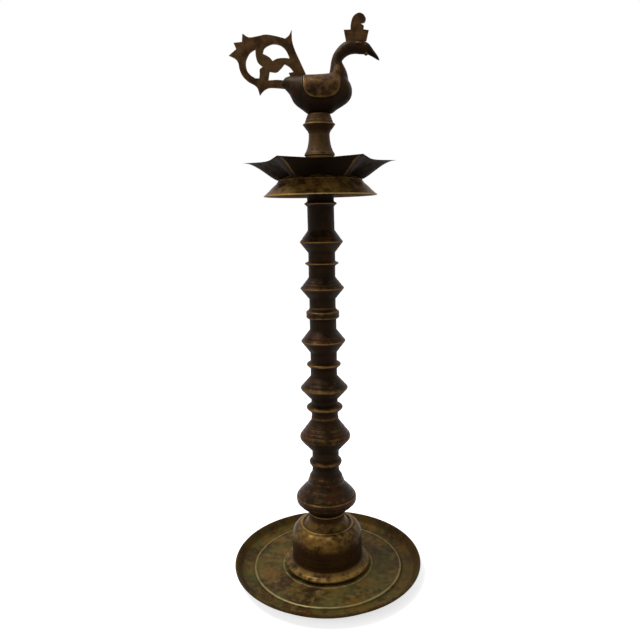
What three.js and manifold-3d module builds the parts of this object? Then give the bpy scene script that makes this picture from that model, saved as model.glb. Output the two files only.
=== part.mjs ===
// A standing oil lamp in cast bronze: drip tray, pedestal, three turned shaft sections, a drip skirt,
// a six-spouted oil dish and a bird finial with an openwork tail.
// Millimetres, +Z up. The origin is the centre of the foot ring's underside, and the bird looks along +X.
import * as THREE from "three";
import { mergeVertices } from "three/addons/utils/BufferGeometryUtils.js";
import Module from "manifold-3d";

const wasm = await Module();
wasm.setup();

// Fits between the pieces.
const seatGap = 0.3; // between two faces that rest on each other
const slipGap = 0.3; // around a tenon, a tang or a pin
const tipGap = 0.6; // below the end of a tenon

// Fineness of the round forms.
const traySegments = 48;
const columnSegments = 28;
const skirtSegments = 40;
const dishSegments = 72;
const finialSegments = 24;
const birdSegments = 20;
const pinSegments = 12;

// Tenons, each on the piece above and let into the piece below.
const pedestalTenon = { radius: 14, length: 24 };
const columnTenon = { radius: 10, length: 28 };
const dishTenon = { radius: 10, length: 34 };
const stemTenon = { radius: 8, length: 20 };
const birdPeg = { radius: 6, length: 14 };

const tray = {
  floorRadius: 103,
  floorHeight: 11,
  floorWall: 3.5,
  ridgeRadius: 105.8,
  ridgeHeight: 12,
  ridgeWidth: 2,
  grooveInner: 107.5,
  grooveOuter: 118,
  grooveHeight: 8.5,
  lipRadius: 134.2,
  lipHeight: 21.6,
  lipRound: 1.2,
  wall: 3.2,
  footInner: 96,
  footOuter: 104,
};

const pedestal = {
  beadRadius: 60.3,
  beadHeight: 10.5,
  wallRadius: 49.6,
  wallHeight: 46,
  shoulderRadius: 36,
  shoulderHeight: 63,
  grooveRadius: 32.5,
  grooveDepth: 1.6,
  neckRadius: 26.5,
  height: 80.7,
  wall: 5,
};

const skirt = { crown: 3.5, neckRadius: 54.9, rimRadius: 74.7, drop: 20.1, wall: 2.5, flare: 1.3 };

const dish = {
  spouts: 6,
  footRadius: 52,
  tipRadius: 101.7,
  valleyRadius: 76,
  rise: 23.8,
  valleyDrop: 2.5,
  swell: 1.3,
  wall: 3,
  bossRadius: 20,
  bossTaper: 1.5,
  bossHeight: 30.9,
};

const tail = { thickness: 4.5, tangFront: -24.6, tangFloor: 28.8 };
const tailPins = { radius: 1.5, upper: [-29, 40.8], lower: [-34, 32.8] };
const crest = { thickness: 3.6, tangBack: 43.3, tangFront: 52.7, tangFloor: 82.3, shoulder: 89.3 };
const wingRelief = 2;

// A turned outline, worked upwards from its seat as rows of height and radius.
function column(startRadius, waistRadius) {
  const rows = [[0, startRadius]];
  const path = {
    rows,
    height: () => rows.at(-1)[0],
    run(rise, radius) {
      rows.push([path.height() + rise, radius]);
      return path;
    },
    waist: (rise) => path.run(rise, waistRadius),
    // Two cones that meet in a crown; the crown falls off by its own amount on each side.
    knop: ({ below, above, radius, crown, fall, end = waistRadius }) =>
      path
        .run(below - crown, radius - fall)
        .run(crown, radius)
        .run(crown, radius - fall)
        .run(above - crown, end),
    // A half-round ring.
    ring({ height, radius }) {
      const foot = path.height();
      for (const angle of [0.25, 0.5, 0.75, 1].map((share) => share * Math.PI)) {
        const lift = (height / 2) * (1 - Math.cos(angle));
        rows.push([foot + lift, waistRadius + (radius - waistRadius) * Math.sin(angle)]);
      }
      return path;
    },
    // A flat band with slanted edges.
    band: ({ height, radius, edge }) =>
      path
        .run(edge, radius)
        .run(height - 2 * edge, radius)
        .run(edge, waistRadius),
  };
  return path;
}

const lowerShaft = column(pedestal.neckRadius, 18.6)
  .knop({ below: 22.2, above: 22.8, radius: 42.6, crown: 8, fall: 3.6, end: 25 })
  .run(9, 23.2)
  .run(6.3, 19.4)
  .waist(6.2)
  .ring({ height: 15, radius: 22.8 })
  .waist(11)
  .knop({ below: 20.7, above: 24.2, radius: 35.2, crown: 3.6, fall: 1 })
  .waist(4.3);

const middleShaft = column(18.1, 18.1)
  .waist(5)
  .ring({ height: 14.5, radius: 25.1 })
  .waist(5.6)
  .knop({ below: 16.6, above: 17, radius: 32.6, crown: 2, fall: 0.9 })
  .waist(9.8)
  .ring({ height: 11.2, radius: 23.5 })
  .waist(12.3)
  .knop({ below: 16.2, above: 15.5, radius: 30.35, crown: 1, fall: 0.6 })
  .waist(14)
  .band({ height: 14, radius: 22.3, edge: 3 })
  .waist(2);

const upperShaft = column(17.6, 17.6)
  .waist(11.9)
  .knop({ below: 14.6, above: 14.9, radius: 29.4, crown: 1, fall: 0.6 })
  .waist(14)
  .ring({ height: 7.6, radius: 22.5 })
  .waist(11)
  .knop({ below: 14.4, above: 15.4, radius: 28.8, crown: 0.8, fall: 0.6 })
  .waist(30)
  .ring({ height: 7.6, radius: 21.5 })
  .waist(4)
  .run(19, 24);

// The finial's stem: a flared foot, a slim neck, a sharp collar and a bead under the bird.
const finialStem = column(20, 13.6)
  .run(2.7, 19.3)
  .run(2.5, 17.5)
  .run(5, 15.7)
  .run(6.2, 14.2)
  .waist(11.8)
  .run(9.5, 20.8)
  .run(1.2, 20.8)
  .run(2.6, 18.6)
  .run(1, 16.6)
  .run(3.2, 17.6)
  .run(3, 16.2)
  .run(3.2, 14);

// Heights at which the pieces stand, each on the one below.
const pedestalBase = tray.floorHeight + seatGap;
const lowerBase = pedestalBase + pedestal.height + seatGap;
const middleBase = lowerBase + lowerShaft.height() + seatGap;
const upperBase = middleBase + middleShaft.height() + seatGap;
const skirtBase = upperBase + upperShaft.height() + seatGap;
const dishBase = skirtBase + skirt.crown + seatGap;
const stemBase = dishBase + dish.bossHeight + seatGap;
const birdBase = stemBase + finialStem.height() + seatGap;

function solidOf(geometry) {
  const bare = geometry.clone();
  bare.deleteAttribute("normal");
  bare.deleteAttribute("uv");
  const merged = mergeVertices(bare, 1e-4);
  const vertProperties = merged.getAttribute("position").array;
  const triVerts = new Uint32Array(merged.index.array);
  return new wasm.Manifold(new wasm.Mesh({ numProp: 3, vertProperties, triVerts }));
}

function geometryOf(solid) {
  const { vertProperties, triVerts } = solid.getMesh();
  const geometry = new THREE.BufferGeometry()
    .setAttribute("position", new THREE.BufferAttribute(vertProperties, 3))
    .setIndex(new THREE.BufferAttribute(triVerts, 1));
  geometry.computeVertexNormals();
  return geometry;
}

// A closed outline of [radius, height] points turned about Z.
function turned(points, segments) {
  const outline = points.map(([radius, height]) => new THREE.Vector2(radius, height));
  return new THREE.LatheGeometry(outline, segments).rotateX(Math.PI / 2);
}

// A skin over closed rings of points, with a fan to one point at each end.
function skinned(rings, first, last) {
  const count = rings[0].length;
  const vertices = [...rings.flat(), first, last];
  const start = rings.length * count;
  const faces = [];
  for (let k = 0; k < count; k += 1) {
    const next = (k + 1) % count;
    faces.push(start, next, k);
    faces.push(start + 1, start - count + k, start - count + next);
    for (let i = 0; i < start - count; i += count) {
      faces.push(i + k, i + next, i + count + k);
      faces.push(i + count + k, i + next, i + count + next);
    }
  }
  const positions = vertices.flatMap((point) => point.toArray());
  return new THREE.BufferGeometry()
    .setAttribute("position", new THREE.Float32BufferAttribute(positions, 3))
    .setIndex(faces);
}

// A turned section with a tenon below its seat and a socket let into its top.
function shaftSection(shaft, tenon, socket) {
  const top = shaft.height();
  return turned(
    [
      [0, -tenon.length],
      [tenon.radius, -tenon.length],
      [tenon.radius, 0],
      ...shaft.rows.map(([height, radius]) => [radius, height]),
      [socket.radius, top],
      [socket.radius, top - socket.depth],
      [0, top - socket.depth],
    ],
    columnSegments,
  );
}

function socketFor(tenon, passed = 0) {
  return { radius: tenon.radius + slipGap, depth: tenon.length - passed + tipGap };
}

function trayGeometry() {
  const under = tray.grooveHeight - tray.wall;
  return turned(
    [
      [0, tray.floorHeight - tray.floorWall],
      [tray.footInner, tray.floorHeight - tray.floorWall],
      [tray.footInner, 0],
      [tray.footOuter, 0],
      [tray.footOuter, under],
      [tray.grooveOuter, under],
      [tray.lipRadius - tray.lipRound, tray.lipHeight - tray.wall - tray.lipRound],
      [tray.lipRadius, tray.lipHeight - tray.wall],
      [tray.lipRadius, tray.lipHeight - tray.lipRound],
      [tray.lipRadius - tray.lipRound, tray.lipHeight],
      [tray.lipRadius - tray.wall, tray.lipHeight - tray.lipRound],
      [tray.grooveOuter, tray.grooveHeight],
      [tray.grooveInner, tray.grooveHeight],
      [tray.ridgeRadius, tray.ridgeHeight],
      [tray.ridgeRadius - tray.ridgeWidth, tray.ridgeHeight],
      [tray.floorRadius, tray.floorHeight],
      [0, tray.floorHeight],
    ],
    traySegments,
  );
}

// A hollow bell, open below, on a rolled foot bead.
function pedestalGeometry() {
  const socket = socketFor(pedestalTenon);
  const socketFloor = pedestal.height - socket.depth;
  const inside = pedestal.wallRadius - pedestal.wall;
  const turn = pedestal.shoulderHeight - pedestal.wallHeight;
  const shoulder = [0, 0.35, 0.7, 1].map((share) => {
    const angle = (share * Math.PI) / 2;
    const reach = (pedestal.wallRadius - pedestal.shoulderRadius) * Math.cos(angle);
    return [pedestal.shoulderRadius + reach, pedestal.wallHeight + turn * Math.sin(angle)];
  });
  const bead = [0, 0.25, 0.5, 0.75, 1].map((share) => {
    const swell = Math.sin(share * Math.PI);
    const reach = pedestal.beadRadius - pedestal.wallRadius - pedestal.wall;
    return [pedestal.beadRadius - reach * (1 - swell), pedestal.beadHeight * share];
  });
  return turned(
    [
      [0, socketFloor - pedestal.wall],
      [inside * 0.6, socketFloor - pedestal.wall],
      [inside, pedestal.wallHeight - pedestal.wall],
      [inside, 0],
      ...bead,
      [pedestal.wallRadius, pedestal.beadHeight],
      ...shoulder,
      [pedestal.grooveRadius, pedestal.shoulderHeight - pedestal.grooveDepth],
      [pedestal.neckRadius, pedestal.height],
      [socket.radius, pedestal.height],
      [socket.radius, socketFloor],
      [0, socketFloor],
    ],
    columnSegments,
  );
}

// An inverted flared bowl, clamped by its crown between the upper shaft and the dish.
function skirtGeometry() {
  const hole = dishTenon.radius + slipGap;
  const shares = [0, 0.2, 0.45, 0.7, 1];
  const flank = (inset, top, drop) =>
    shares.map((share) => {
      const flare = (skirt.rimRadius - skirt.neckRadius) * share ** skirt.flare;
      return [skirt.neckRadius - inset + flare, top - drop * share];
    });
  const inner = flank(skirt.wall, 0, skirt.drop - skirt.crown);
  const outer = flank(0, skirt.crown, skirt.drop).reverse();
  return turned([[hole, 0], ...inner, ...outer, [hole, skirt.crown], [hole, 0]], skirtSegments);
}

// Petalled bowl: the rim's radius peaks in a point at each spout, and the wall swells up to it.
function dishGeometry() {
  const socket = socketFor(stemTenon);
  const shares = [0.2, 0.4, 0.6, 0.8, 1];
  const profileAt = (azimuth) => {
    const spout = 1 - Math.abs(Math.sin((azimuth * dish.spouts) / 2));
    const rim = dish.valleyRadius + (dish.tipRadius - dish.valleyRadius) * spout;
    const rise = dish.rise - dish.valleyDrop * (1 - spout);
    const wallLine = (reach, lift) =>
      shares.map((share) => {
        const height = (rise - lift) * Math.sin((share * Math.PI) / 2) ** dish.swell;
        return [dish.footRadius + (reach - dish.footRadius) * share, lift + height];
      });
    return [
      [dishTenon.radius, -dishTenon.length],
      [dishTenon.radius, 0],
      [dish.footRadius, 0],
      ...wallLine(rim, 0),
      ...wallLine(rim - dish.wall, dish.wall).reverse(),
      [dish.footRadius - dish.wall, dish.wall],
      [dish.bossRadius, dish.wall],
      [dish.bossRadius - dish.bossTaper, dish.bossHeight],
      [socket.radius, dish.bossHeight],
      [socket.radius, dish.bossHeight - socket.depth],
    ];
  };
  const azimuths = Array.from({ length: dishSegments }, (_, k) => (2 * Math.PI * k) / dishSegments);
  const profiles = azimuths.map(profileAt);
  const rings = profiles[0].map((_, j) =>
    azimuths.map((azimuth, k) => {
      const [radius, height] = profiles[k][j];
      return new THREE.Vector3(radius * Math.cos(azimuth), radius * Math.sin(azimuth), height);
    }),
  );
  const socketFloor = new THREE.Vector3(0, 0, dish.bossHeight - socket.depth);
  return skinned(rings, new THREE.Vector3(0, 0, -dishTenon.length), socketFloor);
}

function stemGeometry() {
  const top = finialStem.height();
  return turned(
    [
      [0, -stemTenon.length],
      [stemTenon.radius, -stemTenon.length],
      [stemTenon.radius, 0],
      ...finialStem.rows.map(([height, radius]) => [radius, height]),
      [birdPeg.radius, top],
      [birdPeg.radius, top + birdPeg.length],
      [0, top + birdPeg.length],
    ],
    finialSegments,
  );
}

// The bird's trunk, from tail to breast: place along X, top, bottom and half width.
const trunkStations = [
  [-46.5, 39.5, 35.5, 3],
  [-43, 43.8, 31.4, 6.5],
  [-37, 46.3, 24.3, 10.5],
  [-31, 47.3, 13.3, 14],
  [-21, 47.8, 5.1, 18],
  [-12, 47.8, -0.7, 20.5],
  [0, 47.8, -1.6, 21.5],
  [15, 48.8, -0.4, 21.5],
  [24, 50, 5.1, 20],
  [33, 47.5, 10.3, 17],
  [38, 40.8, 14.1, 14],
  [41.5, 35, 18.8, 9],
  [43, 30, 23, 4],
];

// The neck and head, from inside the trunk to the beak's tip: x, z, half depth and half width.
const neckStations = [
  [23, 27.8, 17, 15],
  [25.5, 45.8, 12.5, 13],
  [24, 62.3, 7.2, 8],
  [27.6, 70.8, 7.3, 7.5],
  [36.5, 78.3, 8.6, 8.6],
  [46, 80.6, 8.4, 8],
  [56, 77, 5.8, 5],
  [66, 71.8, 3.3, 2.6],
  [76, 65.8, 0.9, 0.8],
];

function sectionRing(centre, across, depth, width) {
  return Array.from({ length: birdSegments }, (_, k) => {
    const angle = (2 * Math.PI * k) / birdSegments;
    const sideways = new THREE.Vector3(0, width * Math.cos(angle), 0);
    return centre.clone().addScaledVector(across, depth * Math.sin(angle)).add(sideways);
  });
}

function trunkGeometry(relief) {
  const up = new THREE.Vector3(0, 0, 1);
  const rings = trunkStations.map(([x, top, bottom, width]) => {
    const centre = new THREE.Vector3(x, 0, (top + bottom) / 2);
    return sectionRing(centre, up, (top - bottom) / 2, width + relief);
  });
  const middle = ([x, top, bottom]) => new THREE.Vector3(x, 0, (top + bottom) / 2);
  return skinned(rings, middle(trunkStations[0]), middle(trunkStations.at(-1)));
}

function neckGeometry() {
  const spine = new THREE.CatmullRomCurve3(neckStations.map(([x, z]) => new THREE.Vector3(x, 0, z)));
  const girth = new THREE.CatmullRomCurve3(
    neckStations.map(([, , depth, width]) => new THREE.Vector3(depth, width, 0)),
  );
  const steps = 2 * (neckStations.length - 1);
  const sideways = new THREE.Vector3(0, 1, 0);
  const rings = Array.from({ length: steps + 1 }, (_, k) => {
    const across = spine.getTangent(k / steps).cross(sideways);
    const { x: depth, y: width } = girth.getPoint(k / steps);
    return sectionRing(spine.getPoint(k / steps), across, depth, width);
  });
  return skinned(rings, spine.getPoint(0), spine.getPoint(1));
}

// Half the trunk's width at a place on its flank.
function flankAt([x, z]) {
  const i = trunkStations.findIndex(([place]) => place > x);
  const [from, to] = [trunkStations[i - 1], trunkStations[i]];
  const share = (x - from[0]) / (to[0] - from[0]);
  const [, top, bottom, width] = from.map((value, k) => value + (to[k] - value) * share);
  const level = (z - (top + bottom) / 2) / ((top - bottom) / 2);
  return width * Math.sqrt(1 - level ** 2);
}

const vectors = (points) => points.map(([x, y]) => new THREE.Vector2(x, y));

// A flat outline in the XZ plane given a thickness about the plane.
function plate(shape, thickness) {
  const options = { depth: thickness, bevelEnabled: false, curveSegments: 3 };
  return new THREE.ExtrudeGeometry(shape, options)
    .rotateX(Math.PI / 2)
    .translate(0, thickness / 2, 0);
}

function wingOutline() {
  const edge = [[22.8, 24.3], [9, 20.6], [-11.4, 20.1], [-24, 26], [-37, 37]];
  const shoulder = [[-20, 44], [5, 44.5], [21, 40.5], [27, 31]];
  return new THREE.Shape().moveTo(27, 31).splineThru(vectors(edge)).splineThru(vectors(shoulder));
}

function slot(back, front, thickness, floor, top) {
  const width = thickness + 2 * slipGap;
  return new THREE.BoxGeometry(front - back, width, top - floor).translate(
    (front + back) / 2,
    0,
    (top + floor) / 2,
  );
}

function birdGeometry() {
  const tall = 60; // past the bird's girth on both sides
  const wing = solidOf(trunkGeometry(wingRelief)).intersect(solidOf(plate(wingOutline(), tall)));
  const below = new THREE.CylinderGeometry(tall, tall, tall, columnSegments)
    .rotateX(Math.PI / 2)
    .translate(0, 0, -tall / 2);
  const pegHole = new THREE.CylinderGeometry(
    birdPeg.radius + slipGap,
    birdPeg.radius + slipGap,
    2 * (birdPeg.length + tipGap),
    finialSegments,
  ).rotateX(Math.PI / 2);
  const pinHoles = [tailPins.upper, tailPins.lower].map(([x, z]) => pinBore().translate(x, 0, z));
  const cuts = [
    below,
    pegHole,
    ...pinHoles,
    slot(-tall, tail.tangFront + slipGap, tail.thickness, tail.tangFloor - slipGap, tall),
    slot(
      crest.tangBack - slipGap,
      crest.tangFront + slipGap,
      crest.thickness,
      crest.tangFloor - slipGap,
      2 * tall,
    ),
  ];
  const cast = solidOf(trunkGeometry(0)).add(solidOf(neckGeometry())).add(wing);
  return geometryOf(cuts.reduce((solid, cut) => solid.subtract(solidOf(cut)), cast));
}

function pinBore() {
  const radius = tailPins.radius + slipGap;
  return new THREE.CylinderGeometry(radius, radius, 100, pinSegments);
}

function pinGeometry(place) {
  return new THREE.CylinderGeometry(
    tailPins.radius,
    tailPins.radius,
    2 * flankAt(place),
    pinSegments,
  ).translate(place[0], 0, place[1]);
}

// The openwork tail: a fan with a horn, three rear spikes and three openings round a trefoil.
function tailGeometry() {
  const fan = new THREE.Shape()
    .moveTo(-15.2, 48.2)
    .splineThru(vectors([[-21.6, 62.3], [-28.6, 77.9], [-31.7, 88.8], [-32.1, 101.7]]))
    .splineThru(vectors([[-35.5, 95.5], [-40.6, 91.6]]))
    .splineThru(vectors([[-51.5, 94.6], [-64.5, 96.8], [-76, 95], [-86.3, 94], [-94.2, 98.7]]))
    .lineTo(-95.2, 88.8)
    .lineTo(-105.8, 87.8)
    .lineTo(-102.8, 80.3)
    .lineTo(-112.4, 72.8)
    .splineThru(vectors([[-104.7, 68.9], [-100.9, 63.5], [-99.6, 56.2]]))
    .splineThru(vectors([[-96.4, 48.4], [-89.5, 41.2], [-81.2, 36.4], [-77.4, 32.1], [-75, 23.7]]))
    .splineThru(vectors([[-70.2, 29.1], [-63.5, 32.6], [-53.3, 32.5], [-43.1, 31.4]]))
    .lineTo(-38, tail.tangFloor)
    .lineTo(tail.tangFront, tail.tangFloor)
    .lineTo(tail.tangFront, 48.2)
    .lineTo(-15.2, 48.2);
  const dome = new THREE.Path()
    .moveTo(-69.5, 74.3)
    .splineThru(vectors([[-66.6, 80.9], [-57.1, 85.2], [-47, 83.7], [-40, 77.6], [-35.5, 67.9]]))
    .splineThru(vectors([[-43.1, 68.6], [-51.5, 67.9], [-57.1, 65.3]]))
    .splineThru(vectors([[-61.5, 70], [-69.5, 74.3]]));
  const crescent = new THREE.Path()
    .moveTo(-78.7, 79.6)
    .splineThru(vectors([[-86, 74.8], [-91, 65.3], [-90.4, 55.6], [-86, 49], [-79.6, 44.8]]))
    .lineTo(-74.9, 44.8)
    .splineThru(vectors([[-74.2, 50.2], [-73.9, 55.6], [-70.2, 58.4]]))
    .splineThru(vectors([[-76, 63.8], [-78.2, 70.7], [-78.7, 79.6]]));
  const lower = new THREE.Path()
    .moveTo(-61.5, 52.3)
    .splineThru(vectors([[-52.9, 51.5], [-47.2, 55.6], [-42.1, 61.2]]))
    .splineThru(vectors([[-35.5, 57.1], [-31.1, 51.5]]))
    .lineTo(-37.2, 50.6)
    .lineTo(-35.7, 46.8)
    .lineTo(-42.1, 44.8)
    .lineTo(-41.8, 41.3)
    .splineThru(vectors([[-51.5, 42.4], [-63.3, 42]]))
    .lineTo(-61.5, 52.3);
  fan.holes.push(dome, crescent, lower);
  const bores = [tailPins.upper, tailPins.lower].map(([x, z]) => solidOf(pinBore().translate(x, 0, z)));
  const sheet = solidOf(plate(fan, tail.thickness));
  return geometryOf(bores.reduce((solid, bore) => solid.subtract(bore), sheet));
}

// The crest: a flared plate on a tang, with a hooked curl above it.
function crestGeometry() {
  const outline = new THREE.Shape()
    .moveTo(crest.tangBack, crest.tangFloor)
    .lineTo(crest.tangFront, crest.tangFloor)
    .lineTo(crest.tangFront, crest.shoulder)
    .lineTo(62, crest.shoulder)
    .lineTo(65.2, 102.1)
    .lineTo(58.4, 103.2)
    .splineThru(vectors([[59.5, 107.4], [54.2, 110.3]]))
    .splineThru(vectors([[59.8, 111.2], [61.4, 115.8], [58, 121.2], [52, 122.8]]))
    .splineThru(vectors([[45.5, 118.6], [42.6, 111], [41.9, 103.2]]))
    .lineTo(33.6, 103.2)
    .lineTo(36.2, crest.shoulder)
    .lineTo(crest.tangBack, crest.shoulder)
    .lineTo(crest.tangBack, crest.tangFloor);
  return plate(outline, crest.thickness);
}

const darkBronze = 0x3d3019;
const wornBronze = 0x8a6c33;
const greenedBronze = 0x5a5232;

function piece(name, geometry, height, color, roughness = 0.45) {
  const material = new THREE.MeshStandardMaterial({ color, roughness, metalness: 0.85 });
  const mesh = new THREE.Mesh(geometry, material);
  mesh.name = name;
  mesh.position.z = height;
  return mesh;
}

const lamp = new THREE.Group();
const finial = new THREE.Group();
finial.position.z = birdBase;
finial.add(
  piece("bird_body", birdGeometry(), 0, darkBronze),
  piece("tail_fan", tailGeometry(), 0, darkBronze),
  piece("bird_crest", crestGeometry(), 0, darkBronze),
  piece("tail_pin_upper", pinGeometry(tailPins.upper), 0, wornBronze),
  piece("tail_pin_lower", pinGeometry(tailPins.lower), 0, wornBronze),
);
const passedByDishTenon = skirt.crown + 2 * seatGap;
lamp.add(
  piece("drip_tray", trayGeometry(), 0, greenedBronze, 0.6),
  piece("pedestal", pedestalGeometry(), pedestalBase, darkBronze),
  piece("shaft_lower", shaftSection(lowerShaft, pedestalTenon, socketFor(columnTenon)), lowerBase, darkBronze),
  piece("shaft_middle", shaftSection(middleShaft, columnTenon, socketFor(columnTenon)), middleBase, darkBronze),
  piece(
    "shaft_upper",
    shaftSection(upperShaft, columnTenon, socketFor(dishTenon, passedByDishTenon)),
    upperBase,
    darkBronze,
  ),
  piece("dish_skirt", skirtGeometry(), skirtBase, wornBronze),
  piece("oil_dish", dishGeometry(), dishBase, darkBronze),
  piece("finial_stem", stemGeometry(), stemBase, darkBronze),
  finial,
);

export default lamp;
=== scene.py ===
import math

import bpy
import numpy as np
from mathutils import Euler, Matrix, Vector


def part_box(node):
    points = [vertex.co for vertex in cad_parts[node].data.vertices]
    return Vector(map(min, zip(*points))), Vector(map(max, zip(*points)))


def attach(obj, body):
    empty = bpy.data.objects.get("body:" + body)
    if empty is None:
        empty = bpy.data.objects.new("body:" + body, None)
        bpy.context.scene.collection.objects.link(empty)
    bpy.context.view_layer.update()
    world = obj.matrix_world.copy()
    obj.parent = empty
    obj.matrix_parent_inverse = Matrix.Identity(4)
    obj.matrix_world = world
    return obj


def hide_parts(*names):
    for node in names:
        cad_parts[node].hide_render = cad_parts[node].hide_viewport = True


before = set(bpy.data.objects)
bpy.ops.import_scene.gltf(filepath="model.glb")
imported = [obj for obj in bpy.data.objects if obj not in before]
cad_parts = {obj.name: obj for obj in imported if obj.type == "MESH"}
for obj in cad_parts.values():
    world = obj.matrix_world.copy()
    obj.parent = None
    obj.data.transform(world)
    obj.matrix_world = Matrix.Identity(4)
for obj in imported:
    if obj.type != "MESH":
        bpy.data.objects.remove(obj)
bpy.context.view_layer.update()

mm = 0.001  # sizes below are in millimetres and become metres where a mesh is made

# Heights at which the pieces stand, taken from the frame
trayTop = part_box("drip_tray")[1].z / mm
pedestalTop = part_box("pedestal")[1].z / mm
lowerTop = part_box("shaft_lower")[1].z / mm
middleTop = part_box("shaft_middle")[1].z / mm
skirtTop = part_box("dish_skirt")[1].z / mm
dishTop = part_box("oil_dish")[1].z / mm
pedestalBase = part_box("pedestal")[0].z / mm
seatGap = 0.3
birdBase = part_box("bird_crest")[1].z / mm - 122.8  # the crest's curl ends this high above the bird's seat


# Profiles and curves

def smoothAlong(rows, width):
    # each row becomes the bell-weighted mean of its neighbours; width is the bell's spread in rows
    reach = int(3 * width) + 1
    bell = np.exp(-0.5 * (np.arange(-reach, reach + 1) / width) ** 2)
    bell /= bell.sum()
    padded = np.concatenate([rows[:1].repeat(reach, 0), rows, rows[-1:].repeat(reach, 0)])
    return sum(weight * padded[k:k + len(rows)] for k, weight in enumerate(bell))


def evenSteps(corners, step):
    # the corners' polyline walked in equal steps
    corners = np.asarray(corners, float)
    travelled = np.r_[0, np.cumsum(np.linalg.norm(np.diff(corners, axis=0), axis=1))]
    places = np.linspace(0, travelled[-1], int(travelled[-1] / step) + 2)
    return np.stack([np.interp(places, travelled, corners[:, k]) for k in range(corners.shape[1])], 1)


def splined(points, perSpan=10):
    # Catmull-Rom curve through the points: a cubic on each span, with the neighbours' chord as tangent
    p = np.asarray(points, float)
    p = np.concatenate([2 * p[:1] - p[1:2], p, 2 * p[-1:] - p[-2:-1]])
    t = np.linspace(0, 1, perSpan, endpoint=False)[None, :, None]
    a, b, c, d = p[:-3, None], p[1:-2, None], p[2:-1, None], p[3:, None]
    bend = (2 * a - 5 * b + 4 * c - d) * t ** 2 + (3 * b - a - 3 * c + d) * t ** 3
    curve = 0.5 * (2 * b + (c - a) * t + bend)
    return np.concatenate([curve.reshape(-1, p.shape[1]), p[-2:-1]])


def profileMasks(profile, step, waist, sootAndShadeBands):
    # wear where the profile stands proud of its own smoothing, and painted light where it looks up; hollow where
    # it falls short of it; soot and painted shade where it looks down, on thin waists and between the named heights
    reach, depth = 1.4, 0.45
    along = np.gradient(profile, axis=0)
    along /= np.linalg.norm(along, axis=1, keepdims=True) + 1e-9
    outward = np.stack([along[:, 1], -along[:, 0]], 1)
    proud = ((profile - smoothAlong(profile, reach / step)) * outward).sum(1)
    # soot and painted shade: darker where the profile looks down, on thin waists and in the given bands
    sootAndShade = 0.75 * np.clip(-1.6 * outward[:, 1], 0, 1) + 0.5 * (profile[:, 0] < waist)
    for low, high, share in sootAndShadeBands:
        sootAndShade = sootAndShade + share * ((profile[:, 1] > low) & (profile[:, 1] < high))
    sootAndShade = smoothAlong(sootAndShade[:, None], 1.5 / step)[:, 0]
    # the upward share is painted light: faces that look up are made lighter, as if lit from above
    wearAndTopLight = proud / depth + 0.3 * np.clip(outward[:, 1], 0, 1)
    return {"wearAndTopLight": wearAndTopLight, "hollow": -proud / depth, "sootAndShade": sootAndShade}


def handTurned(angle, radius, height, amount):
    # three slow waves round and along the piece, which fade out on tenons and in sockets
    waves = np.sin(2 * angle + height / 31) + 0.7 * np.sin(3 * angle - height / 19 + 1)
    waves = waves + 0.4 * np.sin(7 * angle + height / 7)
    return amount * (waves / 4.2 + 0.5) * np.clip((radius - 15) / 2, 0, 1)


# Meshes

def makeMesh(name, points, faces, masks=None):
    mesh = bpy.data.meshes.new(name)
    mesh.from_pydata(np.asarray(points, float) * mm, [], faces)
    mesh.polygons.foreach_set("use_smooth", np.ones(len(mesh.polygons), bool))
    mesh.update()
    piece = bpy.data.objects.new(name, mesh)
    bpy.context.scene.collection.objects.link(piece)
    for mask, values in (masks or {}).items():
        setMask(piece, mask, values)
    return piece


def setMask(piece, mask, values):
    attributes = piece.data.attributes
    attribute = attributes.get(mask) or attributes.new(mask, "FLOAT", "POINT")
    attribute.data.foreach_set("value", np.clip(values, 0, 1).astype(np.float32))


def maskOf(piece, mask):
    values = np.empty(len(piece.data.vertices), np.float32)
    piece.data.attributes[mask].data.foreach_get("value", values)
    return values


def placesOf(piece):
    # every vertex's place, in millimetres
    places = np.empty(len(piece.data.vertices) * 3)
    piece.data.vertices.foreach_get("co", places)
    return places.reshape(-1, 3) / mm


def ringFaces(count, around, loop=False):
    # quads between neighbouring rings; a loop joins the last ring to the first
    rows = np.arange(count if loop else count - 1)[:, None]
    k = np.arange(around)[None, :]
    here, nextRow = rows * around, ((rows + 1) % count) * around
    other = (k + 1) % around
    return np.stack([here + k, here + other, nextRow + other, nextRow + k], -1).reshape(-1, 4).tolist()


def closedSkin(rings, firstPole, lastPole):
    # rings of points joined by quads, closed by a fan to a pole at each end
    count, around, _ = rings.shape
    points = np.concatenate([rings.reshape(-1, 3), [firstPole, lastPole]])
    k = np.arange(around)
    other = (k + 1) % around
    lastRing = (count - 1) * around
    first = np.stack([np.full(around, count * around), other, k], 1)
    last = np.stack([np.full(around, count * around + 1), lastRing + k, lastRing + other], 1)
    return points, ringFaces(count, around) + first.tolist() + last.tolist()


def turnedPiece(name, corners, base, around, step=0.7, edge=0.5, amount=0.3, grooves=(), waist=0, sootAndShadeBands=(),
                loop=False):
    # a closed profile of radius and height turned about Z, with rounded corners and slow waves in its radius
    profile = smoothAlong(evenSteps(corners, step), edge / step)
    for at, depth, width in grooves:
        profile[:, 0] -= depth * np.exp(-((profile[:, 1] - at) / width) ** 2) * (profile[:, 0] > 16)
    masks = profileMasks(profile, step, waist, sootAndShadeBands)
    kept = slice(None, -1) if loop else slice(1, -1)
    radius, height = profile[:, :1], profile[:, 1:] + base
    angle = np.linspace(0, 2 * math.pi, around, endpoint=False)[None, :]
    reach = radius + handTurned(angle, radius, height, amount)
    rings = np.stack([reach * np.cos(angle), reach * np.sin(angle), height + 0 * angle], -1)[kept]
    masks = {mask: np.repeat(values[kept], around) for mask, values in masks.items()}
    if loop:
        return makeMesh(name, rings.reshape(-1, 3), ringFaces(len(rings), around, True), masks)
    points, faces = closedSkin(rings, (0, 0, height[0, 0]), (0, 0, height[-1, 0]))
    return makeMesh(name, points, faces, {mask: np.r_[values, 0, 0] for mask, values in masks.items()})


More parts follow.
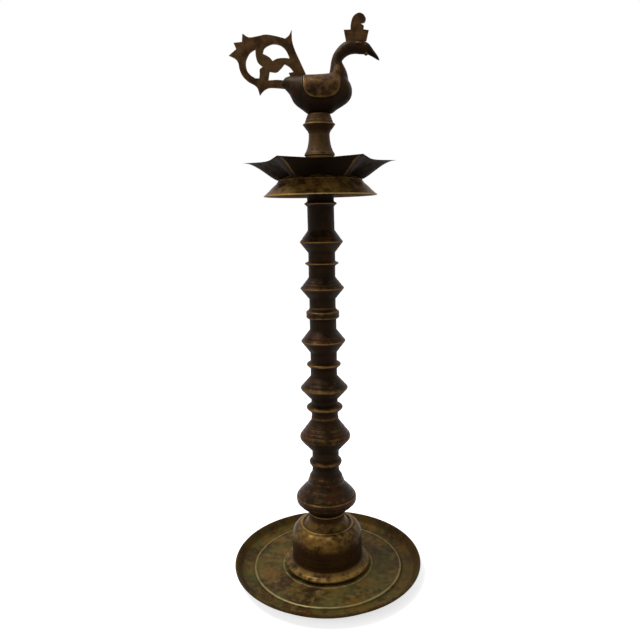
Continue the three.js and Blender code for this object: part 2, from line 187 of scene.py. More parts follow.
def meshMasks(piece, rounds, depth, sootAndShade=0.0):
    # the same masks on any mesh: how far a vertex stands proud of its neighbourhood's mean, and how it faces
    mesh = piece.data
    count = len(mesh.vertices)
    places = placesOf(piece)
    normals = np.empty(count * 3, np.float32)
    mesh.vertex_normals.foreach_get("vector", normals)
    normals = normals.reshape(-1, 3)
    ends = np.empty(len(mesh.edges) * 2, np.int32)
    mesh.edges.foreach_get("vertices", ends)
    a, b = ends.reshape(-1, 2).T
    neighbours = np.maximum(np.bincount(a, minlength=count) + np.bincount(b, minlength=count), 1)
    smooth = places.copy()
    for _ in range(rounds):
        sums = [np.bincount(a, column[b], count) + np.bincount(b, column[a], count) for column in smooth.T]
        smooth = 0.3 * smooth + 0.7 * np.stack(sums, 1) / neighbours[:, None]
    proud = ((places - smooth) * normals).sum(1) / depth
    # wear, plus painted light: faces that look up are made lighter
    setMask(piece, "wearAndTopLight", proud + 0.25 * np.clip(normals[:, 2], 0, 1))
    setMask(piece, "hollow", -proud)
    # soot and painted shade: faces that look down are made darker
    setMask(piece, "sootAndShade", sootAndShade + 0.9 * np.clip(0.15 - 1.5 * normals[:, 2], 0, 1))


def applyModifiers(piece):
    bpy.context.view_layer.update()
    shaped = piece.evaluated_get(bpy.context.evaluated_depsgraph_get())
    mesh = bpy.data.meshes.new_from_object(shaped)
    piece.modifiers.clear()
    piece.data = mesh
    mesh.polygons.foreach_set("use_smooth", np.ones(len(mesh.polygons), bool))
    mesh.update()


# Materials

def newNode(tree, kind, inputs=None, **props):
    node = tree.nodes.new(kind)
    for key, value in props.items():
        setattr(node, key, value)
    for key, value in (inputs or {}).items():
        if isinstance(value, bpy.types.NodeSocket):
            tree.links.new(value, node.inputs[key])
        else:
            node.inputs[key].default_value = value
    return node


def mathOf(tree, operation, a, b=0.0, clamp=False):
    return newNode(tree, "ShaderNodeMath", {0: a, 1: b}, operation=operation, use_clamp=clamp).outputs[0]


def timesOf(tree, a, b):
    return mathOf(tree, "MULTIPLY", a, b)


def sumOf(tree, a, b):
    return mathOf(tree, "ADD", a, b)


def mixOf(tree, factor, a, b):
    return newNode(tree, "ShaderNodeMix", {0: factor, 6: a, 7: b}, data_type="RGBA").outputs[2]


def stepOf(tree, value, low, high):
    limits = {"Value": value, "From Min": low, "From Max": high}
    return newNode(tree, "ShaderNodeMapRange", limits, interpolation_type="SMOOTHSTEP").outputs[0]


def noiseOf(tree, place, scale, detail, roughness=0.55):
    settings = {"Vector": place, "Scale": scale, "Detail": detail, "Roughness": roughness}
    return newNode(tree, "ShaderNodeTexNoise", settings).outputs[0]


def agedBronze():
    # patches of patina, rust-brown and green, matte soot with painted shade under things, painted shade in the
    # hollows, a pitted cast grain, and bare metal where the edges are worn and painted light where the faces look up
    group = bpy.data.node_groups.new("agedBronze", "ShaderNodeTree")
    colours = ("Shade", "Body", "Rust", "Green", "Gold")
    values = ("Rust Amount", "Green Amount", "Green Hollow", "Wear And Top Light Amount", "Base Roughness", "Pits")
    for name in colours:
        group.interface.new_socket(name, in_out="INPUT", socket_type="NodeSocketColor")
    for name in values:
        group.interface.new_socket(name, in_out="INPUT", socket_type="NodeSocketFloat")
    group.interface.new_socket("Color", in_out="OUTPUT", socket_type="NodeSocketColor")
    for name in ("Roughness", "Metallic", "Height"):
        group.interface.new_socket(name, in_out="OUTPUT", socket_type="NodeSocketFloat")
    given = group.nodes.new("NodeGroupInput").outputs
    place = newNode(group, "ShaderNodeTexCoord").outputs["Object"]
    wearAndTopLight = newNode(group, "ShaderNodeAttribute", attribute_name="wearAndTopLight").outputs["Fac"]
    hollow = newNode(group, "ShaderNodeAttribute", attribute_name="hollow").outputs["Fac"]
    sootAndShade = newNode(group, "ShaderNodeAttribute", attribute_name="sootAndShade").outputs["Fac"]
    broad = noiseOf(group, place, 26, 3)
    patches = noiseOf(group, place, 120, 6, 0.65)
    uneven = sumOf(group, patches, -0.5)
    grain = noiseOf(group, place, 900, 3)
    pitCells = newNode(group, "ShaderNodeTexVoronoi", {"Vector": place, "Scale": 520}).outputs[0]
    pits = timesOf(group, stepOf(group, pitCells, 0.3, 0.05), stepOf(group, broad, 0.48, 0.62))
    mottled = timesOf(group, sumOf(group, broad, patches), 0.5)
    color = mixOf(group, stepOf(group, mottled, 0.4, 0.6), given["Shade"], given["Body"])
    rustSpots = stepOf(group, noiseOf(group, place, 55, 5), 0.5, 0.66)
    color = mixOf(group, timesOf(group, rustSpots, given["Rust Amount"]), color, given["Rust"])
    greenShare = sumOf(group, given["Green Amount"], timesOf(group, hollow, given["Green Hollow"]))
    green = timesOf(group, stepOf(group, noiseOf(group, place, 38, 7, 0.68), 0.45, 0.6), greenShare)
    color = mixOf(group, green, color, given["Green"])
    # painted shade: darker in the hollows
    color = mixOf(group, timesOf(group, hollow, 0.4), color, given["Shade"])
    # soot and painted shade: darker and more matte where the mask says
    smudgedAndShaded = timesOf(group, sootAndShade, sumOf(group, patches, 0.45))
    color = mixOf(group, timesOf(group, smudgedAndShaded, 0.92), color, given["Shade"])
    # wear and painted light: the gold of bare metal on worn edges and on faces that look up
    scuffedAndTopLit = sumOf(group, wearAndTopLight, timesOf(group, uneven, 1.3))
    wornAndTopLit = timesOf(group, stepOf(group, scuffedAndTopLit, 0.25, 1.0), given["Wear And Top Light Amount"])
    color = mixOf(group, wornAndTopLit, color, given["Gold"])
    rough = sumOf(group, given["Base Roughness"], timesOf(group, uneven, 0.4))
    rough = sumOf(group, rough, timesOf(group, green, 0.25))
    rough = sumOf(group, rough, timesOf(group, smudgedAndShaded, 0.3))
    rough = mathOf(group, "SUBTRACT", rough, timesOf(group, wornAndTopLit, 0.14), True)
    metal = mathOf(group, "ADD", timesOf(group, wornAndTopLit, 0.6), 0.15, True)
    height = sumOf(group, timesOf(group, patches, 0.6), timesOf(group, grain, 0.2))
    height = mathOf(group, "SUBTRACT", height, timesOf(group, pits, given["Pits"]))
    made = group.nodes.new("NodeGroupOutput").inputs
    for name, value in (("Color", color), ("Roughness", rough), ("Metallic", metal), ("Height", height)):
        group.links.new(value, made[name])
    return group


bronzeGroup = agedBronze()


def bronzeFinish(name, bump, colours, amounts):
    material = bpy.data.materials.new(name)
    material.use_nodes = True
    tree = material.node_tree
    shader = tree.nodes["Principled BSDF"]
    shader.inputs["Specular IOR Level"].default_value = 0.15
    shader.inputs["Specular Tint"].default_value = (0.6, 0.42, 0.26, 1)
    patina = newNode(tree, "ShaderNodeGroup", node_tree=bronzeGroup)
    for key, value in colours.items():
        patina.inputs[key].default_value = (*value, 1)
    for key, value in amounts.items():
        patina.inputs[key].default_value = value
    relief = {"Height": patina.outputs["Height"], "Strength": bump, "Distance": 0.8 * mm}
    raised = newNode(tree, "ShaderNodeBump", relief)
    tree.links.new(patina.outputs["Color"], shader.inputs["Base Color"])
    tree.links.new(patina.outputs["Roughness"], shader.inputs["Roughness"])
    tree.links.new(patina.outputs["Metallic"], shader.inputs["Metallic"])
    tree.links.new(raised.outputs[0], shader.inputs["Normal"])
    return material


darkBronze = bronzeFinish("darkBronze", 0.6, {
    "Shade": (0.0035, 0.0018, 0.001), "Body": (0.022, 0.0105, 0.0035), "Rust": (0.034, 0.009, 0.003),
    "Green": (0.02, 0.02, 0.008), "Gold": (0.14, 0.072, 0.021)}, {
    "Rust Amount": 0.65, "Green Amount": 0.05, "Green Hollow": 0.15, "Wear And Top Light Amount": 0.85,
    "Base Roughness": 0.42, "Pits": 0.7})
brownBronze = bronzeFinish("brownBronze", 0.75, {
    "Shade": (0.018, 0.008, 0.0035), "Body": (0.07, 0.036, 0.013), "Rust": (0.075, 0.025, 0.009),
    "Green": (0.055, 0.048, 0.018), "Gold": (0.17, 0.1, 0.042)}, {
    "Rust Amount": 0.6, "Green Amount": 0.12, "Green Hollow": 0.2, "Wear And Top Light Amount": 0.75,
    "Base Roughness": 0.46, "Pits": 0.9})
oliveBronze = bronzeFinish("oliveBronze", 0.55, {
    "Shade": (0.018, 0.0065, 0.002), "Body": (0.13, 0.072, 0.014), "Rust": (0.062, 0.017, 0.0045),
    "Green": (0.08, 0.07, 0.022), "Gold": (0.3, 0.185, 0.055)}, {
    "Rust Amount": 0.5, "Green Amount": 0.1, "Green Hollow": 0.2, "Wear And Top Light Amount": 0.85,
    "Base Roughness": 0.42, "Pits": 0.6})
greenedBronze = bronzeFinish("greenedBronze", 0.8, {
    "Shade": (0.026, 0.011, 0.003), "Body": (0.09, 0.055, 0.011), "Rust": (0.13, 0.056, 0.008),
    "Green": (0.072, 0.083, 0.026), "Gold": (0.22, 0.185, 0.085)}, {
    "Rust Amount": 0.7, "Green Amount": 0.35, "Green Hollow": 0.7, "Wear And Top Light Amount": 0.85,
    "Base Roughness": 0.55, "Pits": 1.0})


def seatPiece(piece, material, body, slot, *nodes):
    piece.data.materials.clear()
    piece.data.materials.append(material)
    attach(piece, body)
    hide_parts(*nodes)


# Turned outlines, worked upwards as corners of radius and height

class Turning:
    def __init__(self, startRadius, waistRadius):
        self.corners = [(startRadius, 0)]
        self.waistRadius = waistRadius

    def height(self):
        return self.corners[-1][1]

    def run(self, rise, radius):
        self.corners.append((radius, self.height() + rise))
        return self

    def waist(self, rise):
        return self.run(rise, self.waistRadius)

    def knop(self, below, above, radius, crown, fall, end=None):
        # two cones that meet in a crown
        self.run(below - crown, radius - fall).run(crown, radius).run(crown, radius - fall)
        return self.run(above - crown, self.waistRadius if end is None else end)

    def ring(self, height, radius, sharp=1.3, widest=0.6):
        # a turned ring: sharp over 1 pinches it to a flange, and widest is how high up it is thickest
        foot = self.height()
        for share in np.linspace(0, 1, 15)[1:]:
            bulge = max(math.sin(math.pi * share ** (math.log(0.5) / math.log(widest))), 0) ** sharp
            self.corners.append((self.waistRadius + (radius - self.waistRadius) * bulge, foot + height * share))
        return self

    def band(self, height, radius, edge):
        return self.run(edge, radius).run(height - 2 * edge, radius).run(edge, self.waistRadius)

    def solid(self, tenon, socketRadius, socketDepth):
        # the outline closed by a tenon below and a socket in the top
        top = self.height()
        below = [(0, -tenon["length"]), (tenon["radius"], -tenon["length"]), (tenon["radius"], 0)]
        bottom = top - socketDepth
        return below + self.corners + [(socketRadius, top), (socketRadius, bottom), (0, bottom)]


pedestalTenon = {"radius": 14, "length": 24}
columnTenon = {"radius": 10, "length": 28}
dishTenon = {"radius": 10, "length": 34}
stemTenon = {"radius": 8, "length": 20}
birdPeg = {"radius": 6, "length": 14}


# Drip tray: floor, ridge, green groove, sloping lip

tray = {"floor": 11, "under": 7.5, "footInner": 96, "footOuter": 104, "wellRadius": 66, "lipFoot": 128}


def makeTray():
    corners = [
        (0, tray["under"]), (tray["footInner"], tray["under"]), (tray["footInner"], 0), (tray["footOuter"], 0),
        (tray["footOuter"], 5.3), (118, 5.3), (131, 15.4), (134, 17.6), (134.2, 19.2), (133.9, 21),
        (132.8, trayTop), (131.4, 21.2), (129.5, 18.7), (124, 12.6), (119, 9.2), (115, 8.5), (109.5, 8.3),
        (107.4, 9.2), (106.3, 11.7), (105.3, 12.2), (104, 11.9), (102.6, 11.1), (98, tray["floor"]),
        (tray["wellRadius"] + 0.5, 10.8), (64.8, 11.6), (63.2, 11.7), (61.6, 11), (0, 10.8)]
    # the lip between these heights is darkened: soot and painted shade
    piece = turnedPiece("dripTray", corners, 0, 224, 1.1, 0.7, 0.0, sootAndShadeBands=((12.6, 22, 0.55),))
    places = placesOf(piece)
    radius, angle = np.hypot(places[:, 0], places[:, 1]), np.arctan2(places[:, 1], places[:, 0])
    dents = 0.35 * np.sin(3 * angle + 1) * np.sin(radius / 17) + 0.2 * np.sin(8 * angle + radius / 9)
    inner = np.clip((radius - tray["wellRadius"]) / 8, 0, 1) * np.clip((tray["lipFoot"] - radius) / 6, 0, 1)
    places[:, 2] -= 0.6 * (dents + 0.55) * inner * (places[:, 2] > 8)
    piece.data.vertices.foreach_set("co", (places * mm).ravel())
    setMask(piece, "wearAndTopLight", maskOf(piece, "wearAndTopLight") * np.where(radius > 125, 0.35, 1))
    seatPiece(piece, greenedBronze, "base", "tray_bronze", "drip_tray")


# Pedestal: rolled foot bead, bell wall, raised rim round a recess, cone up to the column

pedestal = {"bead": 60.3, "beadHeight": 10.5, "wall": 49.6, "rim": 37, "neck": 25, "thick": 5}


def makePedestal():
    height = pedestalTop - pedestalBase
    socketFloor = height - pedestalTenon["length"] - 0.6
    inside = pedestal["wall"] - pedestal["thick"]
    bead = [(pedestal["bead"] - 5.7 * (1 - math.sin(s * math.pi) ** 0.7), pedestal["beadHeight"] * s)
            for s in np.linspace(0, 1, 11)]
    shoulder = [(pedestal["rim"] + 12.6 * math.cos(a), 45 + 17.5 * math.sin(a)) for a in np.linspace(0, 1.5, 8)]
    corners = [
        (0, socketFloor - 5), (26, socketFloor - 5), (inside, 41), (inside, 0), *bead, (51.5, 11.6), (49.8, 13),
        *shoulder, (36.8, 63.6), (35.4, 63.8), (34.2, 62.4), (33, 61.6), (31.6, 62.8), (30, 65), (27.4, 68.8),
        (25.2, 72.2), (24.3, 75), (24.4, 78), (pedestal["neck"], height),
        (pedestalTenon["radius"] + 0.3, height), (pedestalTenon["radius"] + 0.3, socketFloor), (0, socketFloor)]
    grooves = [(30, 0.35, 0.8), (24, 0.25, 0.7), (17.5, 0.35, 0.9), (42, 0.25, 0.8)]
    # the bell wall and the neck under the column's lowest knop are darkened: soot and painted shade
    sootAndShadeBands = ((12.5, 42, 1), (71.5, height + 1, 1))
    piece = turnedPiece("pedestalBell", corners, pedestalBase, 144, 0.8, 0.5, 0.7, grooves, sootAndShadeBands=sootAndShadeBands)
    seatPiece(piece, oliveBronze, "base", "dark_bronze", "pedestal")


# Column: three turned sections with tenons

def makeColumn():
    lower = Turning(pedestal["neck"], 18.6).run(2, 26.6)
    lower.run(9, 34.8).run(1.2, 37.6).run(1.6, 38.2).run(2.4, 41.3).run(1.4, 41.9).run(4.4, 42.6).run(3.6, 42)
    lower.run(1.3, 40.9).run(4, 38).run(4, 33.9).run(1, 33.4).run(6, 27.6).run(3.1, 25.4).run(1.2, 25.6)
    lower.run(2, 25.2).run(1.2, 24.2).run(4.8, 23.1).run(1.4, 22.3).run(2.2, 20.6).run(2.5, 19.4)
    lower.waist(6.2).ring(15, 22.8).waist(11)
    lower.knop(20.7, 24.2, 35.2, 3.2, 0.8).waist(4.3)
    scale = (lowerTop - pedestalTop - seatGap) / lower.height()
    lower.corners = [(radius, height * scale) for radius, height in lower.corners]
    socket = (columnTenon["radius"] + 0.3, columnTenon["length"] + 0.6)
    grooves = [(119.5, 0.8, 0.7), (124, 0.7, 0.7), (129, 0.7, 0.7), (109.5, 0.5, 0.7), (27.5, 0.7, 0.8),
               (40, 0.5, 0.7), (15, 0.6, 0.8)]
    piece = turnedPiece("lowerSection", lower.solid(pedestalTenon, *socket), pedestalTop + seatGap, 128, 0.7,
                        0.45, 0.6, grooves, waist=20.2)
    seatPiece(piece, darkBronze, "lower_section", "dark_bronze", "shaft_lower")

    middle = Turning(18.1, 18.1).waist(5).ring(14.5, 25.1).waist(5.6).knop(16.6, 17, 32.6, 1.6, 0.7).waist(9.8)
    middle.ring(11.2, 23.5).waist(12.3).knop(16.2, 15.5, 30.35, 0.9, 0.5).waist(14).band(14, 22.3, 3).waist(2)
    grooves = [(46, 0.7, 0.7), (50.5, 0.6, 0.7), (36.5, 0.5, 0.7), (112.5, 0.6, 0.7), (144.5, 0.5, 0.6)]
    piece = turnedPiece("middleSection", middle.solid(columnTenon, *socket), lowerTop + seatGap, 112, 0.7,
                        0.4, 0.5, grooves, waist=19.4)
    seatPiece(piece, darkBronze, "middle_section", "dark_bronze", "shaft_middle")

    upper = Turning(17.6, 17.6).waist(11.9).knop(14.6, 14.9, 29.4, 0.8, 0.5).waist(14).ring(7.6, 22.5, 1.8)
    upper.waist(11).knop(14.4, 15.4, 28.8, 0.7, 0.5).waist(30).ring(7.6, 21.5, 1.8).waist(4).run(19, 24)
    passed = 4.1  # the dish's tenon first goes through the skirt's crown
    socket = (dishTenon["radius"] + 0.3, dishTenon["length"] - passed + 0.6)
    grooves = [(30.5, 0.7, 0.6), (34, 0.6, 0.6), (38, 0.5, 0.6), (92.5, 0.5, 0.6)]
    # the top, under the skirt, is darkened between these heights: painted shade of the skirt, and soot
    piece = turnedPiece("upperSection", upper.solid(columnTenon, *socket), middleTop + seatGap, 112, 0.7,
                        0.35, 0.5, grooves, waist=18.9, sootAndShadeBands=((136, 165, 0.7),))
    seatPiece(piece, darkBronze, "upper_section", "dark_bronze", "shaft_upper")


# Drip skirt: a flared bowl turned over, with a cone that the dish's petals straddle

skirt = {"neck": 54.9, "rim": 74.7, "drop": 20.1, "wall": 2.5, "coneRadius": 44, "coneHeight": 5.7}


def makeSkirt():
    share = np.linspace(0, 1, 24)
    flare = (skirt["rim"] - skirt["neck"]) * (0.55 * share ** 1.15 + 0.45 * share ** 1.9)
    flare += 1.6 * np.sin(share * math.pi) ** 2 * (share < 0.9)
    outer = np.stack([skirt["neck"] + flare, -(skirt["drop"] - 0.9) * share], 1)
    inner = np.stack([skirt["neck"] - skirt["wall"] + flare * 0.99, -3.5 - (skirt["drop"] - 3.5) * share], 1)
    hole, coneTop = dishTenon["radius"] + 0.3, skirt["coneHeight"]
    under = [(hole, -3.5), (40, -3.5)]
    rim = [(skirt["rim"] - 0.2, 0.05 - skirt["drop"])]
    cone = [(skirt["neck"] + 0.2, 0.4), (skirt["coneRadius"], coneTop), (hole, coneTop), (hole, -3.5)]
    corners = under + inner.tolist() + rim + outer[::-1].tolist() + cone
    grooves = [(-4.5, 0.45, 0.7), (-12.5, 0.35, 0.7)]
    piece = turnedPiece("dripSkirt", corners, skirtTop, 176, 0.8, 0.5, 0.5, grooves, loop=True)
    seatPiece(piece, oliveBronze, "dish", "worn_bronze", "dish_skirt")


# Oil dish: six pointed spouts; between them the underside lifts and shows the skirt's cone

dish = {"spouts": 6, "tip": 101.7, "valley": 78, "rise": 23.8, "valleyDrop": 2.0, "wall": 3, "boss": 20,
        "bossHeight": 30.9}


def makeDish():
    angle = np.linspace(0, 2 * math.pi, 240, endpoint=False)[None, :]
    spout = 1 - np.abs(np.sin(angle * dish["spouts"] / 2)) ** 0.85
    petal = 0.5 + 0.5 * np.cos(angle * dish["spouts"])
    base = skirtTop + seatGap
    rim = dish["valley"] + (dish["tip"] - dish["valley"]) * spout
    rise = dish["rise"] - dish["valleyDrop"] * (1 - spout)
    cone = skirt["coneHeight"] + 0.3
    footRadius = skirt["coneRadius"] + 0.6 + (skirt["neck"] - skirt["coneRadius"]) * petal
    footHeight = cone * (1 - petal) + 0.35 * petal
    share = np.linspace(0, 1, 46)[:, None]
    swell = np.sin(share * math.pi / 2) ** (1.0 + 0.3 * petal)
    outer = [footRadius + (rim - footRadius) * share, footHeight + (rise - footHeight) * swell]
    innerFoot, floor = footRadius - 3, cone + dish["wall"]
    innerRim = rim - dish["wall"] * 0.9
    inner = [innerFoot + (innerRim - innerFoot) * share, floor + (rise - floor) * np.sin(share * math.pi / 2) ** 1.5]

    def level(radius, height):
        return np.full_like(angle, radius), np.full_like(angle, height)

    tenonFloor, socketFloor = -dishTenon["length"], dish["bossHeight"] - stemTenon["length"] - 0.6
    hollow = stemTenon["radius"] + 0.3
    fixed = [level(0, tenonFloor), level(10, tenonFloor), level(10, cone), level(skirt["coneRadius"], cone)]
    boss = [level(dish["boss"] + 1.5, floor), level(dish["boss"], floor + 2), level(18.5, dish["bossHeight"]),
            level(hollow, dish["bossHeight"]), level(hollow, socketFloor), level(0, socketFloor)]
    radius = np.concatenate([*[r for r, _ in fixed], outer[0], inner[0][::-1], *[r for r, _ in boss]])
    height = np.concatenate([*[h for _, h in fixed], outer[1], inner[1][::-1], *[h for _, h in boss]])
    rings = np.stack([radius * np.cos(angle), radius * np.sin(angle), height + base], -1)
    points, faces = closedSkin(rings[1:-1], rings[0, 0], rings[-1, 0])
    piece = makeMesh("oilDish", points, faces)
    bevel = piece.modifiers.new("rim", "BEVEL")
    bevel.width = 0.7 * mm
    bevel.segments = 2
    bevel.angle_limit = math.radians(50)
    applyModifiers(piece)
    # the whole dish is darkened: soot and painted shade, with more where its underside looks down
    meshMasks(piece, 4, 0.5, 0.85)
    seatPiece(piece, darkBronze, "dish", "dark_bronze", "oil_dish")


# Finial stem

def makeStem():
    stem = Turning(20, 13.6).run(2.7, 19.2).run(2.5, 17.4).run(5, 15.6).run(6.2, 14.3).run(5, 13.7).waist(6)
    stem.run(0.9, 14.6).run(0.8, 14.4).run(7.2, 19.6).run(0.9, 20.7).run(0.9, 20.7).run(0.8, 19.8).run(0.6, 18)
    for foot in (17.4, 16.2):
        stem.run(1.2, foot + 0.4).run(1.6, foot + 0.2).run(0.7, foot - 0.5)
    stem.run(1, 15.6).run(2, 15).run(1, 14)
    base = dishTop + seatGap
    scale = (birdBase - seatGap - base) / stem.height()
    body = [(radius, height * scale) for radius, height in stem.corners]
    top = body[-1][1]
    below = [(0, -stemTenon["length"]), (stemTenon["radius"], -stemTenon["length"]), (stemTenon["radius"], 0)]
    peg = top + birdPeg["length"]
    corners = below + body + [(birdPeg["radius"], top), (birdPeg["radius"], peg), (0, peg)]
    piece = turnedPiece("finialStem", corners, base, 96, 0.5, 0.35, 0.35)
    seatPiece(piece, brownBronze, "finial", "dark_bronze", "finial_stem")


# Bird: trunk and neck are ellipses carried along a line, fused in one skin

trunkStations = [  # along X: place, top, bottom, half width
    (-46.5, 39.5, 35.5, 3), (-43, 43.8, 31.4, 6.5), (-37, 46.3, 24.3, 10.5), (-31, 47.3, 13.3, 14),
    (-21, 47.8, 5.1, 18), (-12, 47.8, -0.7, 20.5), (0, 47.8, -1.6, 21.5), (15, 48.8, -0.4, 21.5),
    (24, 50, 5.1, 20), (33, 47.5, 10.3, 17), (38, 40.8, 14.1, 14), (41.5, 35, 18.8, 9), (43, 30, 23, 4)]
neckStations = [  # from the trunk to the beak: x, z, half depth, half width
    (23, 27.8, 17, 15), (25.5, 45.8, 12.5, 13), (24, 62.3, 7.2, 7.6), (27.6, 70.8, 7.1, 7.3),
    (36.5, 78.2, 8.2, 8.2), (46, 80.2, 8.2, 7.8), (54, 79.6, 8.2, 6.8), (60.5, 78.2, 7.4, 5.4),
    (64.5, 76, 5.6, 4.2), (68, 73.2, 4.2, 3.2), (72.1, 69.8, 3, 2.4), (75.4, 66.6, 2, 1.6), (77.6, 64.2, 1, 0.8),
    (78.3, 63.3, 0.4, 0.4)]
wing = {"x": 4, "z": 36, "long": 24, "tall": 21, "proud": 2.4}
headBumps = [  # eye, brow and cheek: x, y, z and the three radii
    (51.5, 6.6, 83.2, 4, 2, 1.8), (59.8, 4.6, 81, 2, 1.6, 1.6), (61.5, 2.4, 72, 2.4, 2, 2)]


def ellipses(centres, ups, depths, widths, around):
    # rings of points: centre plus up times depth by the sine, and Y times width by the cosine
    turn = np.linspace(0, 2 * math.pi, around, endpoint=False)[None, :, None]
    upward = ups[:, None] * depths[:, None, None] * np.sin(turn)
    sideways = np.array([0.0, 1.0, 0.0]) * widths[:, None, None] * np.cos(turn)
    return centres[:, None] + upward + sideways


def wingShare(x, z):
    # 1 inside the D-shaped wing, whose flat side is the back, falling to 0 at its edge
    across = np.abs((x - wing["x"]) / wing["long"])
    down = np.maximum((wing["z"] - z) / wing["tall"], 0)
    return np.clip((1 - np.sqrt(across ** 2.6 + down ** 2.4)) / 0.05, 0, 1)


def trunkSkin():
    x, top, bottom, width = splined(trunkStations, 8).T
    top = smoothAlong(top[:, None], 3)[:, 0]
    centres = np.stack([x, 0 * x, (top + bottom) / 2], 1)
    ups = np.tile([0.0, 0.0, 1.0], (len(x), 1))
    rings = ellipses(centres, ups, (top - bottom) / 2, width, 120)
    raised = wingShare(rings[..., 0], rings[..., 2]) * np.clip(np.abs(rings[..., 1]) / 9, 0, 1)
    rings[..., 1] += np.sign(rings[..., 1]) * wing["proud"] * raised
    rings[..., 2] = np.maximum(rings[..., 2], 0.0)
    return closedSkin(rings, centres[0], centres[-1])


def neckSkin():
    x, z, depth, width = splined(neckStations, 10).T
    centres = np.stack([x, 0 * x, z], 1)
    along = np.gradient(centres, axis=0)
    along /= np.linalg.norm(along, axis=1, keepdims=True)
    ups = np.cross(along, [0.0, 1.0, 0.0])
    return closedSkin(ellipses(centres, ups, depth, width, 64), centres[0], centres[-1])


def ballSkin(centre, radii):
    # a ball of rings from its lower pole to its upper one, stretched by its three radii
    tilt = np.linspace(-math.pi / 2, math.pi / 2, 12)[1:-1, None]
    turn = np.linspace(0, 2 * math.pi, 24, endpoint=False)[None, :]
    unit = [np.cos(tilt) * np.cos(turn), np.cos(tilt) * np.sin(turn), np.sin(tilt) + 0 * turn]
    pole = np.array([0.0, 0.0, radii[2]])
    return closedSkin(centre + np.stack(unit, -1) * radii, centre - pole, centre + pole)


def makeBird():
    shells = [trunkSkin(), neckSkin()]
    for x, y, z, *radii in headBumps:
        for side in (-1, 1):
            shells.append(ballSkin(np.array([x, side * y, z]), np.array(radii)))
    points, faces, start = [], [], 0
    for shellPoints, shellFaces in shells:
        points.append(shellPoints)
        faces += [[start + v for v in face] for face in shellFaces]
        start += len(shellPoints)
    piece = makeMesh("birdBody", np.concatenate(points) + [0, 0, birdBase], faces)
    remesh = piece.modifiers.new("fuse", "REMESH")
    remesh.mode = "VOXEL"
    remesh.voxel_size = 0.55 * mm
    soften = piece.modifiers.new("soften", "SMOOTH")
    soften.factor = 0.5
    soften.iterations = 4
    applyModifiers(piece)
    meshMasks(piece, 24, 0.8)
    x, y, z = (placesOf(piece) - [0, 0, birdBase]).T
    paintedWingLight = wingShare(x, z) * (np.abs(y) > 9)  # painted light: the raised wings are made lighter and less sooted; the beak less worn and darker
    beak = np.clip((x - 61) / 4, 0, 1) * (z > 55)
    setMask(piece, "wearAndTopLight", maskOf(piece, "wearAndTopLight") + 0.3 * paintedWingLight - 0.2 * beak)
    setMask(piece, "sootAndShade", maskOf(piece, "sootAndShade") * (1 - 0.8 * paintedWingLight) + 0.5 * beak)
    seatPiece(piece, darkBronze, "finial", "dark_bronze", "bird_body")


# Flat castings: an outline in the XZ plane with rounded edges

def runsOf(*runs):
    # an outline of straight and curved runs: a run of more than two points is a curve through them
    parts = [splined(run, 8)[:-1] if len(run) > 2 else np.asarray(run, float)[:-1] for run in runs]
    return np.concatenate(parts)


def flatCasting(name, outlines, thickness, round_, material, slot, node):
    curve = bpy.data.curves.new(name, "CURVE")
    curve.dimensions = "2D"
    curve.fill_mode = "BOTH"
    curve.extrude = (thickness / 2 - round_) * mm
    curve.bevel_depth = round_ * mm
    curve.bevel_resolution = 3
    curve.offset = -round_ * mm
    for outline in outlines:
        spline = curve.splines.new("POLY")
        spline.points.add(len(outline) - 1)
        rows = np.c_[outline * mm, np.zeros(len(outline)), np.ones(len(outline))]
        spline.points.foreach_set("co", rows.ravel())
        spline.use_cyclic_u = True
    holder = bpy.data.objects.new(name, curve)
    bpy.context.scene.collection.objects.link(holder)
    bpy.context.view_layer.update()
    mesh = bpy.data.meshes.new_from_object(holder.evaluated_get(bpy.context.evaluated_depsgraph_get()))
    bpy.data.objects.remove(holder)
    mesh.transform(Matrix.Translation((0, 0, birdBase * mm)) @ Matrix.Rotation(math.pi / 2, 4, "X"))
    piece = bpy.data.objects.new(name, mesh)
    bpy.context.scene.collection.objects.link(piece)
    weld = piece.modifiers.new("weld", "WELD")
    weld.merge_threshold = 0.01 * mm
    applyModifiers(piece)
    piece.data.set_sharp_from_angle(angle=math.radians(12))
    rounding = np.clip((thickness / 2 - np.abs(placesOf(piece)[:, 1])) / round_, 0, 1)
    setMask(piece, "wearAndTopLight", 0.2 + 0.6 * np.sin(rounding * math.pi))  # most worn halfway round the edge
    seatPiece(piece, material, "finial", slot, node)


